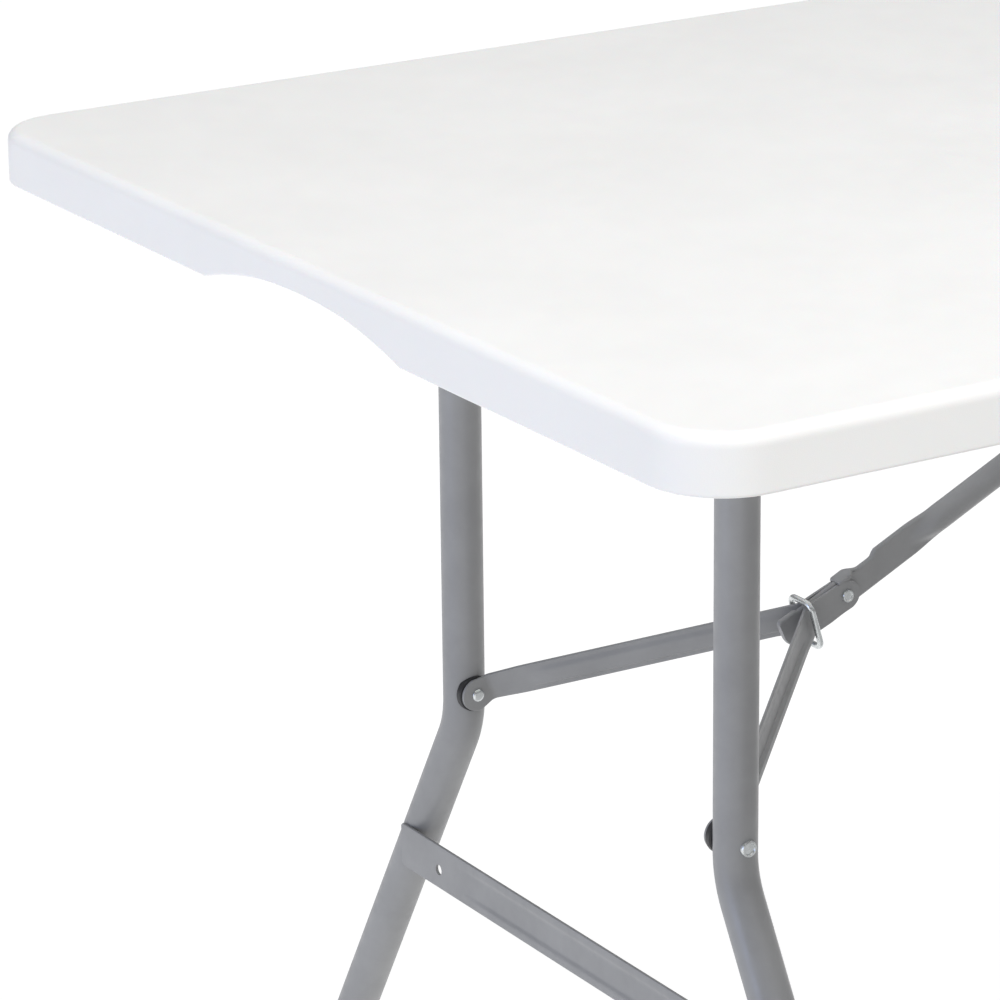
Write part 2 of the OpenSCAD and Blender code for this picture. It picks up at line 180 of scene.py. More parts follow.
def finish_piece(name, bm, nodes, body, material, sharp=32, mirror=False):
    """Turns a bmesh into a piece that rides a body and stands for CAD nodes."""
    if mirror:
        bmesh.ops.scale(bm, vec=(-1, 1, 1), verts=bm.verts)
    bmesh.ops.recalc_face_normals(bm, faces=bm.faces)
    mesh = bpy.data.meshes.new(name)
    bm.to_mesh(mesh)
    bm.free()
    mesh.shade_smooth()
    mesh.set_sharp_from_angle(angle=radians(sharp))
    obj = bpy.data.objects.new(name, mesh)
    bpy.context.collection.objects.link(obj)
    mesh.materials.append(material)
    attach(obj, body)
    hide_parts(*nodes)
    return obj


def at_both_ends(base, body, slot, material, build, sharp=32):
    """Makes a piece at the left end and its mirror image at the right end."""
    for end in ("left", "right"):
        bm = bmesh.new()
        build(bm)
        where = f"{body}_{end}" if body != "top" else "top"
        finish_piece(f"{base}_{end}_look", bm, [f"{base}_{end}"], where, material,
                     sharp, mirror=end == "right")


def mirrored_y(bm, build):
    """Adds what build draws twice: as it is, and mirrored front to back."""
    build(bm)
    old = set(bm.verts)
    build(bm)
    new = [v for v in bm.verts if v not in old]
    bmesh.ops.scale(bm, vec=(1, -1, 1), verts=new)


# ---------------------------------------------------------------- materials

def new_material(name, colour, rough, metal=0.0):
    mat = bpy.data.materials.new(name)
    mat.use_nodes = True
    tree = mat.node_tree
    shader = tree.nodes["Principled BSDF"]
    shader.inputs["Base Color"].default_value = (*colour, 1)
    shader.inputs["Roughness"].default_value = rough
    shader.inputs["Metallic"].default_value = metal
    return mat, tree, shader


def noise(tree, scale, detail=4.0, rough=0.5, stretch=None):
    where = tree.nodes.new("ShaderNodeTexCoord").outputs["Object"]
    if stretch:
        mapping = tree.nodes.new("ShaderNodeMapping")
        mapping.inputs["Scale"].default_value = stretch
        tree.links.new(where, mapping.inputs["Vector"])
        where = mapping.outputs["Vector"]
    tex = tree.nodes.new("ShaderNodeTexNoise")
    tex.inputs["Scale"].default_value = scale
    tex.inputs["Detail"].default_value = detail
    tex.inputs["Roughness"].default_value = rough
    tree.links.new(where, tex.inputs["Vector"])
    return tex.outputs["Fac"]


def ramp(tree, source, low, high, at=(0.35, 0.65)):
    node = tree.nodes.new("ShaderNodeValToRGB")
    for stop, place, colour in zip(node.color_ramp.elements, at, (low, high)):
        stop.position = place
        stop.color = (*colour, 1)
    tree.links.new(source, node.inputs["Fac"])
    return node.outputs["Color"]


def span(tree, source, low, high):
    node = tree.nodes.new("ShaderNodeMapRange")
    node.inputs["From Min"].default_value = 0.3
    node.inputs["From Max"].default_value = 0.7
    node.inputs["To Min"].default_value = low
    node.inputs["To Max"].default_value = high
    tree.links.new(source, node.inputs["Value"])
    return node.outputs["Result"]


def bump(tree, shader, layers):
    """Stacks bump layers of (height source, strength, distance) on the shader."""
    last = None
    for source, strength, distance in layers:
        node = tree.nodes.new("ShaderNodeBump")
        node.inputs["Strength"].default_value = strength
        node.inputs["Distance"].default_value = distance
        tree.links.new(source, node.inputs["Height"])
        if last:
            tree.links.new(last, node.inputs["Normal"])
        last = node.outputs["Normal"]
    tree.links.new(last, shader.inputs["Normal"])


def tint(colour, k):
    return tuple(min(1.0, c * k) for c in colour)


def moulded_white():
    """Blow-moulded polyethylene: a fine pebbled grain over a slow waviness."""
    base = (0.925, 0.922, 0.910)
    mat, tree, shader = new_material("moulded_white", base, 0.42)
    tree.links.new(ramp(tree, noise(tree, 9, 3), tint(base, 0.985), tint(base, 1.01)),
                   shader.inputs["Base Color"])
    tree.links.new(span(tree, noise(tree, 60, 3), 0.38, 0.47), shader.inputs["Roughness"])
    shader.inputs["Specular IOR Level"].default_value = 0.42
    shader.inputs["Subsurface Weight"].default_value = 0.06
    shader.inputs["Subsurface Scale"].default_value = 0.004
    bump(tree, shader, [(noise(tree, 3.5, 2), 0.25, 0.004), (noise(tree, 1500, 2), 0.16, 0.0004)])
    return mat


def powder_coat():
    """Grey powder coat: orange peel, a faint mottle and a few dull patches."""
    base = (0.285, 0.287, 0.293)
    mat, tree, shader = new_material("powder_coat", base, 0.4)
    shader.inputs["Specular IOR Level"].default_value = 0.8
    tree.links.new(ramp(tree, noise(tree, 26, 5, 0.6), tint(base, 0.93), tint(base, 1.06)),
                   shader.inputs["Base Color"])
    tree.links.new(span(tree, noise(tree, 140, 4), 0.34, 0.46), shader.inputs["Roughness"])
    bump(tree, shader, [(noise(tree, 480, 3), 0.12, 0.0004), (noise(tree, 2200, 2), 0.10, 0.0002)])
    return mat


def zinc_plate():
    """Bright zinc: fine drawn scratches and a slightly cloudy passivation."""
    base = (0.72, 0.745, 0.75)
    mat, tree, shader = new_material("zinc_plate", base, 0.25, 1.0)
    tree.links.new(ramp(tree, noise(tree, 220, 4), tint(base, 0.86), tint(base, 1.08)),
                   shader.inputs["Base Color"])
    tree.links.new(span(tree, noise(tree, 500, 4), 0.16, 0.34), shader.inputs["Roughness"])
    bump(tree, shader, [(noise(tree, 900, 4), 0.12, 0.0003)])
    return mat


def black_plastic():
    base = (0.018, 0.018, 0.020)
    mat, tree, shader = new_material("black_plastic", base, 0.42)
    tree.links.new(ramp(tree, noise(tree, 90, 4), tint(base, 0.8), tint(base, 1.5)),
                   shader.inputs["Base Color"])
    tree.links.new(span(tree, noise(tree, 300, 3), 0.36, 0.5), shader.inputs["Roughness"])
    bump(tree, shader, [(noise(tree, 1300, 2), 0.15, 0.0003)])
    return mat


WHITE = moulded_white()
STEEL = powder_coat()
ZINC = zinc_plate()
BLACK = black_plastic()


# ---------------------------------------------------------------- the top

def outline_stations():
    """(point, outward normal) round the top's outline, anticlockwise from the right end."""
    run_x, run_y = HALF_L - CORNER_R, HALF_W - CORNER_R
    arch = [-ARCH_HALF + 2 * ARCH_HALF * k / 36 for k in range(37)]
    lead = [ARCH_HALF + (run_y - ARCH_HALF) * k / 5 for k in range(1, 6)]
    end_y = [-y for y in reversed(lead)] + arch + lead
    side_x = [-run_x + 2 * run_x * k / 36 for k in range(37)]
    out = []
    for turn in (1, -1):
        out += [(Vector((turn * HALF_L, turn * y)), Vector((turn, 0))) for y in end_y]
        middle = Vector((turn * run_x, turn * run_y))
        start = 0 if turn > 0 else 180
        for x, y in arc(0, 0, 1, start, start + 90, 18)[1:-1]:
            out.append((middle + CORNER_R * Vector((x, y)), Vector((x, y))))
        out += [(Vector((-turn * x, turn * HALF_W)), Vector((0, turn))) for x in side_x]
        middle = Vector((-turn * run_x, turn * run_y))
        for x, y in arc(0, 0, 1, start + 90, start + 180, 18)[1:-1]:
            out.append((middle + CORNER_R * Vector((x, y)), Vector((x, y))))
    return out


def skirt_bottom(p, normal):
    """Height of the skirt's bottom edge, raised along the arch in each end."""
    if abs(normal.x) < 0.99 or abs(p.y) > ARCH_HALF + 1e-6:
        return SKIRT_Z
    r = (ARCH_HALF ** 2 + ARCH_RISE ** 2) / (2 * ARCH_RISE)
    return SKIRT_Z + ARCH_RISE - r + sqrt(max(0, r * r - p.y ** 2))


def rim_profile(bottom):
    """(inset, height) points from the top face, over the edge and under to the deck."""
    room = DECK_Z - bottom
    lip = min(LIP_R, room / 2)
    fillet = min(4 * MM, max(0.1 * MM, room - lip))
    points = [(EDGE_R + 14 * MM, TOP_Z), (EDGE_R + 5 * MM, TOP_Z), (EDGE_R + 1 * MM, TOP_Z)]
    points += [(EDGE_R + x, y) for x, y in arc(0, TOP_Z - EDGE_R, EDGE_R, 90, 180, 10)]
    points += [(0, TOP_Z - EDGE_R - 1 * MM), (0, bottom + lip + 0.5 * MM)]
    points += arc(lip, bottom + lip, lip, 180, 270, 5)
    points += arc(SKIRT_T - lip, bottom + lip, lip, 270, 360, 5)
    points += arc(SKIRT_T + fillet, DECK_Z - fillet, fillet, 180, 90, 5)
    points += [(SKIRT_T + fillet + 3 * MM, DECK_Z), (SKIRT_T + fillet + 6 * MM, DECK_Z)]
    return points


def dimple_tile(bm, cx, cy, pitch, corners):
    """One square of the underside with a moulded kiss-off dimple in its middle."""
    half = pitch / 2
    rim = [(-half, -half), (0, -half), (half, -half), (half, 0),
           (half, half), (0, half), (-half, half), (-half, 0)]

    def point(x, y, z):
        key = (round((cx + x) * 1e5), round((cy + y) * 1e5), round(z * 1e5))
        if key not in corners:
            corners[key] = bm.verts.new((cx + x, cy + y, z))
        return corners[key]

    square = [point(x, y, DECK_Z) for x, y in rim]
    n = 16
    rings = []
    for r, dz in ((9.2, 0), (8.4, 0.35), (7.6, 1.2), (6.4, 5.2), (5.4, 6.6), (3.2, 7.1)):
        rings.append([bm.verts.new((cx + r * MM * cos(2 * pi * (k - 6) / n),
                                    cy + r * MM * sin(2 * pi * (k - 6) / n), DECK_Z + dz * MM))
                      for k in range(n)])
    for k in range(8):
        a, b = square[k], square[(k + 1) % 8]
        r = rings[0]
        bm.faces.new((a, b, r[(2 * k + 1) % n], r[2 * k]))
        bm.faces.new((b, r[(2 * k + 2) % n], r[(2 * k + 1) % n]))
    for a, b in zip(rings, rings[1:]):
        for k in range(n):
            bm.faces.new((a[k], a[(k + 1) % n], b[(k + 1) % n], b[k]))
    bm.faces.new(rings[-1])


def build_top(bm):
    loops = []
    for inset_i in range(len(rim_profile(SKIRT_Z))):
        loop = []
        for p, normal in outline_stations():
            d, z = rim_profile(skirt_bottom(p, normal))[inset_i]
            q = p - normal * d
            loop.append(Vector((q.x, q.y, z)))
        loops.append(loop)
    rings = loft(bm, loops, caps=False)
    bm.faces.new(rings[0])
    pitch = 50 * MM
    cols = int((2 * (HALF_L - 30 * MM)) / pitch)
    rows = int((2 * (HALF_W - 44 * MM)) / pitch)
    corners = {}
    for i in range(cols):
        for j in range(rows):
            dimple_tile(bm, (i - (cols - 1) / 2) * pitch, (j - (rows - 1) / 2) * pitch, pitch, corners)
    bm.edges.ensure_lookup_table()
    border = [e for e in bm.edges if e.is_boundary]
    bmesh.ops.triangle_fill(bm, edges=border, use_beauty=True, normal=(0, 0, -1))


bm = bmesh.new()
build_top(bm)
finish_piece("table_top_look", bm, ["table_top"], "top", WHITE, sharp=40)


# ---------------------------------------------------------------- leg frames

def leg_path():
    """Centreline of the back leg tube as points, with a flag on those in a bend."""
    reach = BEND_R * tan(SPLAY / 2)
    out = Vector((0, sin(SPLAY), -cos(SPLAY)))
    down = Vector((0, 0, -1))
    bend, foot = Vector((LEG_X, LEG_Y, BEND_Z)), Vector((LEG_X, FOOT_Y, FOOT_BEND_Z))
    path = []

    def straight(a, b, step=25 * MM):
        n = max(1, round((b - a).length / step))
        path.extend((a.lerp(b, k / n), 0.0) for k in range(n))

    def turn(corner, into, sign):
        n = 18
        start = corner - into * reach
        centre = start + Vector((0, into.z * -sign, into.y * sign)).normalized() * BEND_R
        for k in range(n):
            a = SPLAY * k / n * sign
            path.append((centre + Matrix.Rotation(a, 3, "X") @ (start - centre), sin(pi * k / n)))

    straight(Vector((LEG_X, LEG_Y, TUBE_TOP)), bend - down * reach)
    turn(bend, down, 1)
    straight(bend + out * reach, foot - out * reach)
    turn(foot, out, -1)
    straight(foot + down * reach, Vector((LEG_X, FOOT_Y, 4 * MM)))
    path.append((Vector((LEG_X, FOOT_Y, 4 * MM)), 0.0))
    return path


def leg_tube(bm):
    path = leg_path()
    turn_side = {True: Vector((0, 1, 0)), False: Vector((0, -1, 0))}

    def shape(i, way):
        p, bent = path[i]
        inner = max(0.0, way.dot(turn_side[p.z > 0.25]))
        flat_by_rivet = 0.0
        near = abs(p.z - RIVET.z) / (14 * MM)
        if near < 1:
            flat_by_rivet = 0.02 * (1 - near * near) * abs(way.y) ** 6
        return 1 - 0.055 * bent * inner ** 3 - flat_by_rivet

    sweep(bm, [p for p, _ in path], TUBE_R, n=64, shape=shape)


def build_leg_tube(side):
    def build(bm):
        leg_tube(bm)
        if side == "front":
            bmesh.ops.scale(bm, vec=(1, -1, 1), verts=bm.verts)
    return build


def weld_bead(bm, path, radius, closed=True):
    """A ripple-topped fillet of weld along a path."""
    sweep(bm, path, radius, n=10, closed=closed,
          shape=lambda i, way: 1 + 0.10 * sin(i * 1.9) + 0.05 * sin(i * 0.7))


def build_pivot_tube(bm):
    r = 9.5 * MM
    end_r = 6.5 * MM
    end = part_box("pivot_tube_left")[1].y
    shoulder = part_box("pivot_bushes_left")[1].y - 4.2 * MM
    half = [(r, 0.0), (r, shoulder - 5 * MM), (r - 0.8 * MM, shoulder - 1.5 * MM),
            (end_r + 0.6 * MM, shoulder), (end_r, shoulder + 0.8 * MM), (end_r, end - 0.8 * MM),
            (end_r - 0.8 * MM, end), (end_r - 1.6 * MM, end), (end_r - 1.8 * MM, end - 3 * MM),
            (0, end - 3 * MM)]
    profile = [(a, -b) for a, b in reversed(half)] + half[1:]
    place = Matrix.Translation((PIVOT.x, 0, PIVOT.z)) @ ALONG_Y
    revolve(bm, profile, place, n=56)

    def welds(target):
        path = []
        dx = PIVOT.x - LEG_X
        limit = (TUBE_R - dx) / r
        first = atan2(sqrt(1 - limit * limit), limit)
        steps = 26
        for sign in (1, -1):
            for k in range(steps):
                a = first + (2 * pi - 2 * first) * k / steps
                a = a if sign > 0 else 2 * pi - a
                x = dx + r * cos(a)
                y = sqrt(max(0.0, TUBE_R ** 2 - x * x)) * sign
                path.append(Vector((LEG_X + x, LEG_Y + y, PIVOT.z + r * sin(a))))
        weld_bead(target, path, 1.6 * MM)
    mirrored_y(bm, welds)


BAR_LOW, BAR_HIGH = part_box("crossbar_left")
BAR_T = 1.8 * MM
BAR_HOLE = Vector((0, 152 * MM, BAR_HIGH.z - 16 * MM))


def smooth(t):
    t = min(1.0, max(0.0, t))
    return t * t * (3 - 2 * t)


def build_crossbar(bm):
    """A pressed bar whose middle band is sunk, fading out before the holes, with rounded ends."""
    x0 = BAR_LOW.x
    height = BAR_HIGH.z - BAR_LOW.z
    middle = (BAR_HIGH.z + BAR_LOW.z) / 2
    half = BAR_HIGH.y
    band = [-14, -13.6, -12.6, -10.4, -9.4, -8.4, -7.4, -6.6, -5.5, 0, 5.5, 6.6, 7.4, 8.4, 9.4, 10.4, 12.6,
            13.6, 14]
    stations = [-half, -half + 0.4 * MM, -half + 2 * MM]
    stations += [-half + (6 + 9 * k) * MM for k in range(10)]
    inner = -stations[-1]
    stations += [-inner + 2 * inner * k / 16 for k in range(1, 16)]
    stations += [-y for y in reversed(stations[:13])]
    loops = []
    for y in stations:
        fade = smooth((half - 66 * MM - abs(y)) / (34 * MM))
        trim = max(0.0, abs(y) - (half - 2 * MM)) / (2 * MM)
        squeeze = 1 - 0.10 * trim ** 2
        front, back = [], []
        for w in band:
            depth = 1.1 * MM * fade * smooth((9.8 - abs(w)) / 3.6)
            ease = 0.35 * MM if abs(w) > 13.9 else 0.0
            z = middle + w * MM * height / (28 * MM) * squeeze
            front.append(Vector((x0 + depth + ease, y, z)))
            back.append(Vector((x0 + depth + BAR_T - ease, y, z)))
        loops.append(front + back[::-1])
    loft(bm, loops)
    for side in (-1, 1):
        cutter = bmesh.new()
        place = Matrix.Translation((x0, side * BAR_HOLE.y, BAR_HOLE.z)) @ Matrix.Rotation(pi / 2, 4, "Y")
        revolve(cutter, [(3.4 * MM, -4 * MM), (3.4 * MM, 8 * MM)], place, n=32)
        cut(bm, cutter)


def cut(bm, cutter):
    """Takes the cutter's volume out of a bmesh, and frees the cutter."""
    objs = []
    for source in (bm, cutter):
        bmesh.ops.recalc_face_normals(source, faces=source.faces)
        mesh = bpy.data.meshes.new("cut_tmp")
        source.to_mesh(mesh)
        obj = bpy.data.objects.new("cut_tmp", mesh)
        bpy.context.collection.objects.link(obj)
        objs.append(obj)
    cutter.free()
    mod = objs[0].modifiers.new("cut", "BOOLEAN")
    mod.operation = "DIFFERENCE"
    mod.solver = "EXACT"
    mod.object = objs[1]
    done = objs[0].evaluated_get(bpy.context.evaluated_depsgraph_get())
    bm.clear()
    bm.from_mesh(done.to_mesh())
    done.to_mesh_clear()
    for obj in objs:
        mesh = obj.data
        bpy.data.objects.remove(obj)
        bpy.data.meshes.remove(mesh)


def bar_welds(bm):
    """A weld down each end of the crossbar, where it dies into the splayed tube."""
    def welds(target):
        middle = (BAR_HIGH.z + BAR_LOW.z) / 2
        path = []
        for k in range(15):
            z = middle + (k - 7) * 1.75 * MM
            across = (BAR_HIGH.y - LEG_Y - (BEND_Z - z) * tan(SPLAY)) * cos(SPLAY)
            x = LEG_X - sqrt(max(0.0, TUBE_R ** 2 - across ** 2))
            path.append(Vector((x + 0.2 * MM, BAR_HIGH.y, z)))
        weld_bead(target, path, 1.7 * MM, closed=False)
    mirrored_y(bm, welds)


def build_crossbar_with_welds(bm):
    build_crossbar(bm)
    bar_welds(bm)


def build_foot_cap(side):
    def build(bm):
        sign = 1 if side == "back" else -1
        r = (cap_high.x - cap_low.x) / 2
        top = cap_high.z
        grooves = []
        for z in (9, 13, 17, 21):
            grooves += [(r, (z - 1.3) * MM), (r - 0.5 * MM, (z - 0.6) * MM), (r - 0.5 * MM, (z + 0.6) * MM),
                        (r, (z + 1.3) * MM)]
        profile = [(0, 0.6 * MM), (r - 6 * MM, 0.6 * MM), (r - 5.4 * MM, 0)]
        profile += arc(r - 3 * MM, 3 * MM, 3 * MM, -90, 0, 6) + grooves
        profile += arc(r - 1.2 * MM, top - 1.2 * MM, 1.2 * MM, 0, 90, 4)
        profile += [(TUBE_R - 0.05 * MM, top), (TUBE_R - 0.4 * MM, top - 1.5 * MM), (0, top - 1.5 * MM)]
        revolve(bm, profile, Matrix.Translation((LEG_X, sign * FOOT_Y, 0)), n=56)
    return build


def dome(radius, height, rim=0.0, dish=0.0):
    """Profile of a rivet head standing on z = 0, with an optional rim round a dished middle."""
    if rim:
        return [(0, 0), (radius, 0), (radius, height * 0.55), (radius - 0.35 * MM, height * 0.9),
                (radius - 0.9 * MM, height), (radius - rim, height),
                (radius - rim - 0.5 * MM, height - dish),
                (radius * 0.25, height - dish * 0.8), (0, height - dish * 0.7)]
    points = [(0, 0), (radius, 0), (radius, height * 0.25)]
    for k in range(1, 8):
        a = pi / 2 * k / 7
        points.append((radius * cos(a) ** 0.8 if k < 7 else 0, height * (0.25 + 0.75 * sin(a))))
    return points


def build_leg_rivets(bm):
    def one(target):
        place = Matrix.Translation((LEG_X, LEG_Y + TUBE_R - 0.9 * MM, RIVET.z)) @ ALONG_Y
        revolve(target, dome(5 * MM, 2.5 * MM, rim=1.5 * MM, dish=0.9 * MM), place, n=40)
    mirrored_y(bm, one)


def build_spacers(bm):
    low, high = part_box("brace_spacers_left")

    def one(target):
        r = (high.x - low.x) / 2
        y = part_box("leg_tube_back_left")[0].y - 1.3 * MM
        t = high.y - y
        profile = [(0, 0), (r - 0.8 * MM, 0), (r - 0.2 * MM, 0.25 * MM), (r, 0.9 * MM), (r, t - 0.9 * MM),
                   (r - 0.9 * MM, t), (0, t)]
        place = Matrix.Translation((LEG_X, y, RIVET.z)) @ ALONG_Y
        revolve(target, profile, place, n=48)
    mirrored_y(bm, one)


# ---------------------------------------------------------------- brace

ARM = KNUCKLE - RIVET
ARM_L = hypot(ARM.x, ARM.z)
ARM_FRAME = Matrix.Translation(KNUCKLE) @ Matrix.Rotation(-atan2(ARM.z, ARM.x), 4, "Y")
LINK = LINK_PIN - KNUCKLE
LINK_L = hypot(LINK.x, LINK.z)
LINK_SLOPE = atan2(LINK.z, LINK.x)
LINK_FRAME = Matrix.Translation(KNUCKLE) @ Matrix.Rotation(-LINK_SLOPE, 4, "Y")


def arm_stations():
    """Middle line of an arm in plan: (x, y, normal, run) from the plate's nose to the lug's end."""
    splay = atan2(LUG_Y - PLATE_Y, ARM_L - LUG_L - PLATE_L)
    bend = 7 * MM
    reach = bend * tan(splay / 2)
    first, last = Vector((-PLATE_L, PLATE_Y)), Vector((-ARM_L + LUG_L, LUG_Y))
    slope = Vector((-cos(splay), sin(splay)))
    points = []

    def straight(a, b, n):
        points.extend(a.lerp(b, k / n) for k in range(n))

    nose = Vector((ARM_W / 2 - 0.01 * MM, PLATE_Y))
    rounded = [nose + Vector((-(ARM_W / 2) * (1 - cos(pi / 2 * k / 10)), 0)) for k in range(10)]
    points += rounded
    straight(Vector((0, PLATE_Y)), first + Vector((reach, 0)), 5)
    centre = first + Vector((reach, bend))
    points += [centre + bend * Vector((-sin(splay * k / 8), -cos(splay * k / 8))) for k in range(8)]
    straight(first + slope * reach, last - slope * reach, 34)
    centre = last + Vector((-reach, -bend))
    angles = [splay * (1 - k / 8) for k in range(8)]
    points += [centre + bend * Vector((sin(a), cos(a))) for a in angles]
    tail = last + Vector((-reach, 0))
    points.append(tail)
    end = -ARM_L - LUG_R + 0.01 * MM
    lug = Vector((-ARM_L, LUG_Y))
    straight(tail, lug, 2)
    points += [lug + Vector((-LUG_R * sin(pi / 2 * k / 10), 0)) for k in range(10)]
    points.append(Vector((end, LUG_Y)))
    return points


def arm_half_width(x):
    """Half the arm's width: a rounded nose, straight sides and a rounder lug."""
    if x > 0:
        return sqrt(max(1e-9, (ARM_W / 2) ** 2 - x * x))
    from_lug = x + ARM_L
    if from_lug < 0:
        return sqrt(max(1e-9, LUG_R ** 2 - from_lug ** 2))
    waist = 8.6 * MM
    if from_lug < LUG_R:
        return max(waist, sqrt(max(0.0, LUG_R ** 2 - from_lug ** 2)))
    return waist + (ARM_W / 2 - waist) * smooth((from_lug - LUG_R) / (18 * MM))


def knee(x):
    """Extra width under an arm where the strip bulges at its bend."""
    s = -x
    return 0.8 * MM * smooth((s - 5 * MM) / (12 * MM)) * smooth((44 * MM - s) / (12 * MM))


RIB_DEPTH = 2.2 * MM


def build_arm(side):
    """A strip steel arm: flat lug, splayed run with a shallow pressed rib, flat plate at the knuckle."""
    def build(bm):
        points = arm_stations()
        n = len(points)
        half_band = [0.2, 0.36, 0.48, 0.58, 0.66, 0.74, 0.88, 0.97, 1]
        band = [-w for w in reversed(half_band)] + [0.0] + half_band
        run = [0.0]
        for a, b in zip(points, points[1:]):
            run.append(run[-1] + (b - a).length)
        loops = []
        for i, p in enumerate(points):
            a, b = points[max(0, i - 1)], points[min(n - 1, i + 1)]
            along = (b - a).normalized()
            normal = Vector((along.y, -along.x)) * -1
            if normal.y < 0:
                normal = -normal
            half = arm_half_width(p.x)
            fade = smooth((run[i] - 46 * MM) / (14 * MM)) * smooth((run[-1] - 44 * MM - run[i]) / (14 * MM))
            inner, outer = [], []
            for w in band:
                rise = -RIB_DEPTH * fade * smooth((w + 0.68) / 0.2) * smooth((0.88 - w) / 0.6)
                ease = 0.3 * MM if abs(w) > 0.99 else 0.0
                z = w * half - knee(p.x) * smooth((-w - 0.2) / 0.8)
                for row, off in ((inner, -ARM_T / 2 + ease), (outer, ARM_T / 2 - ease)):
                    q = p + normal * (off + rise)
                    row.append(ARM_FRAME @ Vector((q.x, q.y, z)))
            loops.append(inner + outer[::-1])
        loft(bm, loops)
        if side == "front":
            bmesh.ops.scale(bm, vec=(1, -1, 1), verts=bm.verts)
    return build


def build_lug_heads(bm):
    def one(target):
        inner_face = Matrix.Translation((LEG_X, LUG_Y - ARM_T / 2, RIVET.z))
        place = inner_face @ ALONG_Y @ Matrix.Rotation(pi, 4, "X")
        revolve(target, dome(HEAD_R, 1.95 * MM), place, n=36)
    mirrored_y(bm, one)


def build_knuckle_rivet(bm):
    def one(target):
        place = Matrix.Translation((KNUCKLE.x, PLATE_Y + ARM_T / 2, KNUCKLE.z)) @ ALONG_Y
        revolve(target, dome(HEAD_R, 1.95 * MM, rim=1.2 * MM, dish=0.5 * MM), place, n=36)
    mirrored_y(bm, one)


FLAT_T = 3.8 * MM
FLAT_H = 21 * MM
LINK_R = 8 * MM
LINK_LIFT = 1.8 * MM        # height of the link's middle line over its pins
TAIL_L = 46.5 * MM          # reach of the pressed flat past the knuckle
HOOK_Z = ARM_W / 2 + 0.5 * MM


def tail_edges(x):
    """Bottom and top of the pressed lower end: rounded tail, lobe, ring seat, neck and shoulder."""
    low, top = LINK_LIFT - FLAT_H / 2, LINK_LIFT + FLAT_H / 2
    inside = min(8 * MM, x + TAIL_L)
    low += 8 * MM - sqrt(max(0.0, (8 * MM) ** 2 - (8 * MM - inside) ** 2))
    inside = min(2.0 * MM, x + TAIL_L)
    top -= 2.0 * MM - sqrt(max(0.0, (2.0 * MM) ** 2 - (2.0 * MM - inside) ** 2))
    seat = smooth((x + 34.5 * MM) / (2 * MM)) * smooth((30 * MM - x) / (5 * MM))
    neck = smooth((x - 4 * MM) / (8 * MM))
    return low, top - seat * (1.6 + 1.4 * neck) * MM


def head_edges(x):
    """Bottom and top of the pressed upper end, round about its pin."""
    low, top = LINK_LIFT - FLAT_H / 2, LINK_LIFT + FLAT_H / 2
    into = smooth((x - LINK_L + 10 * MM) / (8 * MM))
    r = sqrt(max(1e-8, (10 * MM) ** 2 - max(0.0, x - LINK_L) ** 2))
    return low + (-r - low) * into, top + (r - top) * into


def link_section(x, n=64):
    """Loop of (y, z) points of the upper link at x along it: pressed flat, swelling to a tube."""
    round_by = min(smooth((x - 52 * MM) / (34 * MM)), smooth((LINK_L - 44 * MM - x) / (34 * MM)))
    low, top = tail_edges(x) if x < LINK_L / 2 else head_edges(x)
    r = min(FLAT_T / 2, (top - low) / 2 - 0.01 * MM)
    loop = []
    for k in range(n):
        a = 360 * k / n
        up = sin(radians(a))
        if abs(up) > 0.866:
            pole = 90 if up > 0 else 270
            t = radians(pole + 3 * (a - pole))
            y, z = FLAT_T / 2 * cos(t), (top - r if up > 0 else low + r) + r * sin(t)
        else:
            climb = (a if a < 90 else 180 - a if a < 270 else a - 360) / 60
            y = FLAT_T / 2 * (1 if a < 90 or a > 270 else -1)
            z = (low + top) / 2 + climb * ((top - low) / 2 - r)
        # the middle of each face swells first, so that the pressed flat ends in a rounded tongue
        spread = 14 * MM * up * up
        bulge = min(smooth((x - 50 * MM - spread) / (22 * MM)),
                    smooth((LINK_L - 42 * MM - spread - x) / (22 * MM)))
        loop.append((y + (LINK_R * cos(radians(a)) - y) * bulge,
                     z + (LINK_LIFT + LINK_R * up - z) * round_by))
    return loop


def build_hook(bm):
    """The hood over the plates: it hangs beside their noses, then narrows between them into the neck."""
    loops = []
    count = 26
    first, length = -2.2, 17.2
    plate_nose = 9.75 * MM
    for k in range(count + 1):
        x = (first + length * k / count) * MM
        ends = smooth((x + 2.4 * MM) / (1.6 * MM))
        narrow = smooth((x - 7 * MM) / (4 * MM))
        taper = smooth((x - 9 * MM) / (6 * MM))
        half = (5.4 * ends + 4.6 * (1 - ends)) * MM * (1 - narrow) + 1.7 * MM * narrow
        inner = min(4.65 * MM, half - 0.2 * MM)
        top = (11.5 - 0.5 * (1 - ends) - 2.3 * taper) * MM
        low = HOOK_Z - 1.6 * MM * taper
        # the lip is back above the plates before the hood narrows, so that the folded arms pass under it
        hang = 1 - smooth((x - 4.5 * MM) / (2.5 * MM))
        nose = sqrt(max(0.0, plate_nose ** 2 - max(0.0, x) ** 2))
        lip = low - max(0.0, low - nose) * hang
        side = [(half, lip), (half, top - 1.3 * MM), (half * 0.93, top - 0.6 * MM),
                (half * 0.75, top - 0.15 * MM), (half * 0.35, top)]
        outside = side + [(-y, z) for y, z in reversed(side)]
        under = [(-inner, lip), (-inner, low), (inner, low), (inner, lip)]
        loops.append([LINK_FRAME @ Vector((x, y, z)) for y, z in outside + under])
    loft(bm, loops)


